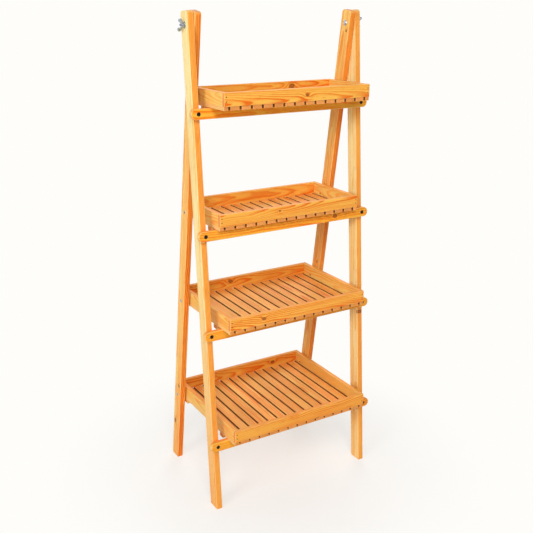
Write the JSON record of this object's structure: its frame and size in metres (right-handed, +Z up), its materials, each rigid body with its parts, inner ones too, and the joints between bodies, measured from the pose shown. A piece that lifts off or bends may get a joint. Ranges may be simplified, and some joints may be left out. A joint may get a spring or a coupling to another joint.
{
  "type": "folding ladder shelf",
  "caption": "Free-standing folding ladder shelf in pine: two leaning frames hinged at the top carry four slatted trays that get deeper towards the floor",
  "frame": {"origin": "on the floor, at the middle of the open shelf's outline: half way across, and half way between the front of the bottom tray and the rear edge of the back feet", "axes": "+X to the right as seen from the front, +Y to the back, +Z up; the trays face -Y"},
  "size_m": [0.5724, 0.401, 1.4],
  "materials": {
    "pine": "satin",
    "pine_slats": "matte",
    "zinc_hardware": "satin",
    "black_screws": "satin",
    "nails": "matte"
  },
  "bodies": {
    "back_frame": {"back_leg_left": "pine", "back_leg_right": "pine", "top_bolt_left": "zinc_hardware", "top_bolt_right": "zinc_hardware", "top_washers_left": "zinc_hardware", "top_washers_right": "zinc_hardware"},
    "front_frame": {"front_leg_left": "pine", "front_leg_right": "pine", "front_rail_1": "pine", "front_rail_2": "pine", "front_rail_3": "pine", "front_rail_4": "pine", "rail_screws_1": "black_screws", "rail_screws_2": "black_screws", "rail_screws_3": "black_screws", "rail_screws_4": "black_screws"},
    "tray_1": {"tray_1_front_board": "pine", "tray_1_back_board": "pine", "tray_1_end_left": "pine", "tray_1_end_right": "pine", "tray_1_slats": "pine_slats", "tray_1_cleat": "pine_slats", "tray_1_nails": "nails", "tray_1_pivot_screws": "zinc_hardware", "tray_1_spacers": "zinc_hardware"},
    "tray_2": {"tray_2_front_board": "pine", "tray_2_back_board": "pine", "tray_2_end_left": "pine", "tray_2_end_right": "pine", "tray_2_slats": "pine_slats", "tray_2_cleat": "pine_slats", "tray_2_nails": "nails", "tray_2_pivot_screws": "zinc_hardware", "tray_2_spacers": "zinc_hardware"},
    "tray_3": {"tray_3_front_board": "pine", "tray_3_back_board": "pine", "tray_3_end_left": "pine", "tray_3_end_right": "pine", "tray_3_slats": "pine_slats", "tray_3_cleat": "pine_slats", "tray_3_nails": "nails", "tray_3_pivot_screws": "zinc_hardware", "tray_3_spacers": "zinc_hardware"},
    "tray_4": {"tray_4_front_board": "pine", "tray_4_back_board": "pine", "tray_4_end_left": "pine", "tray_4_end_right": "pine", "tray_4_slats": "pine_slats", "tray_4_cleat": "pine_slats", "tray_4_nails": "nails", "tray_4_pivot_screws": "zinc_hardware", "tray_4_spacers": "zinc_hardware", "tray_4_rear_cleat": "pine_slats"},
    "wing_nut_left": {"wing_nut_left": "zinc_hardware"},
    "wing_nut_right": {"wing_nut_right": "zinc_hardware"}
  },
  "joints": [
    {"name": "fold", "type": "hinge", "parent": "back_frame", "child": "front_frame", "pos_m": [0, -0.03815, 1.36359], "axis": [1, 0, 0], "range_deg": [0, 13.15]},
    {"name": "tray_1_tilt", "type": "hinge", "parent": "back_frame", "child": "tray_1", "pos_m": [0, -0.00826, 1.177], "axis": [-1, 0, 0], "range_deg": [0, 78]},
    {"name": "tray_2_tilt", "type": "hinge", "parent": "back_frame", "child": "tray_2", "pos_m": [0, 0.04315, 0.856], "axis": [-1, 0, 0], "range_deg": [0, 78]},
    {"name": "tray_3_tilt", "type": "hinge", "parent": "back_frame", "child": "tray_3", "pos_m": [0, 0.08832, 0.574], "axis": [-1, 0, 0], "range_deg": [0, 63.8]},
    {"name": "tray_4_tilt", "type": "hinge", "parent": "back_frame", "child": "tray_4", "pos_m": [0, 0.14198, 0.239], "axis": [-1, 0, 0], "range_deg": [0, 63.8]},
    {"name": "wing_nut_left_turn", "type": "hinge", "parent": "back_frame", "child": "wing_nut_left", "pos_m": [-0.2742, -0.03815, 1.36359], "axis": [-1, 0, 0], "continuous": true},
    {"name": "wing_nut_right_turn", "type": "hinge", "parent": "back_frame", "child": "wing_nut_right", "pos_m": [0.2742, -0.03815, 1.36359], "axis": [1, 0, 0], "continuous": true}
  ],
  "couplings": [
    {"joint": "tray_1_tilt", "follows": "fold", "ratio": 5.93},
    {"joint": "tray_2_tilt", "follows": "fold", "ratio": 5.93},
    {"joint": "tray_3_tilt", "follows": "fold", "ratio": 4.85},
    {"joint": "tray_4_tilt", "follows": "fold", "ratio": 4.85}
  ]
}
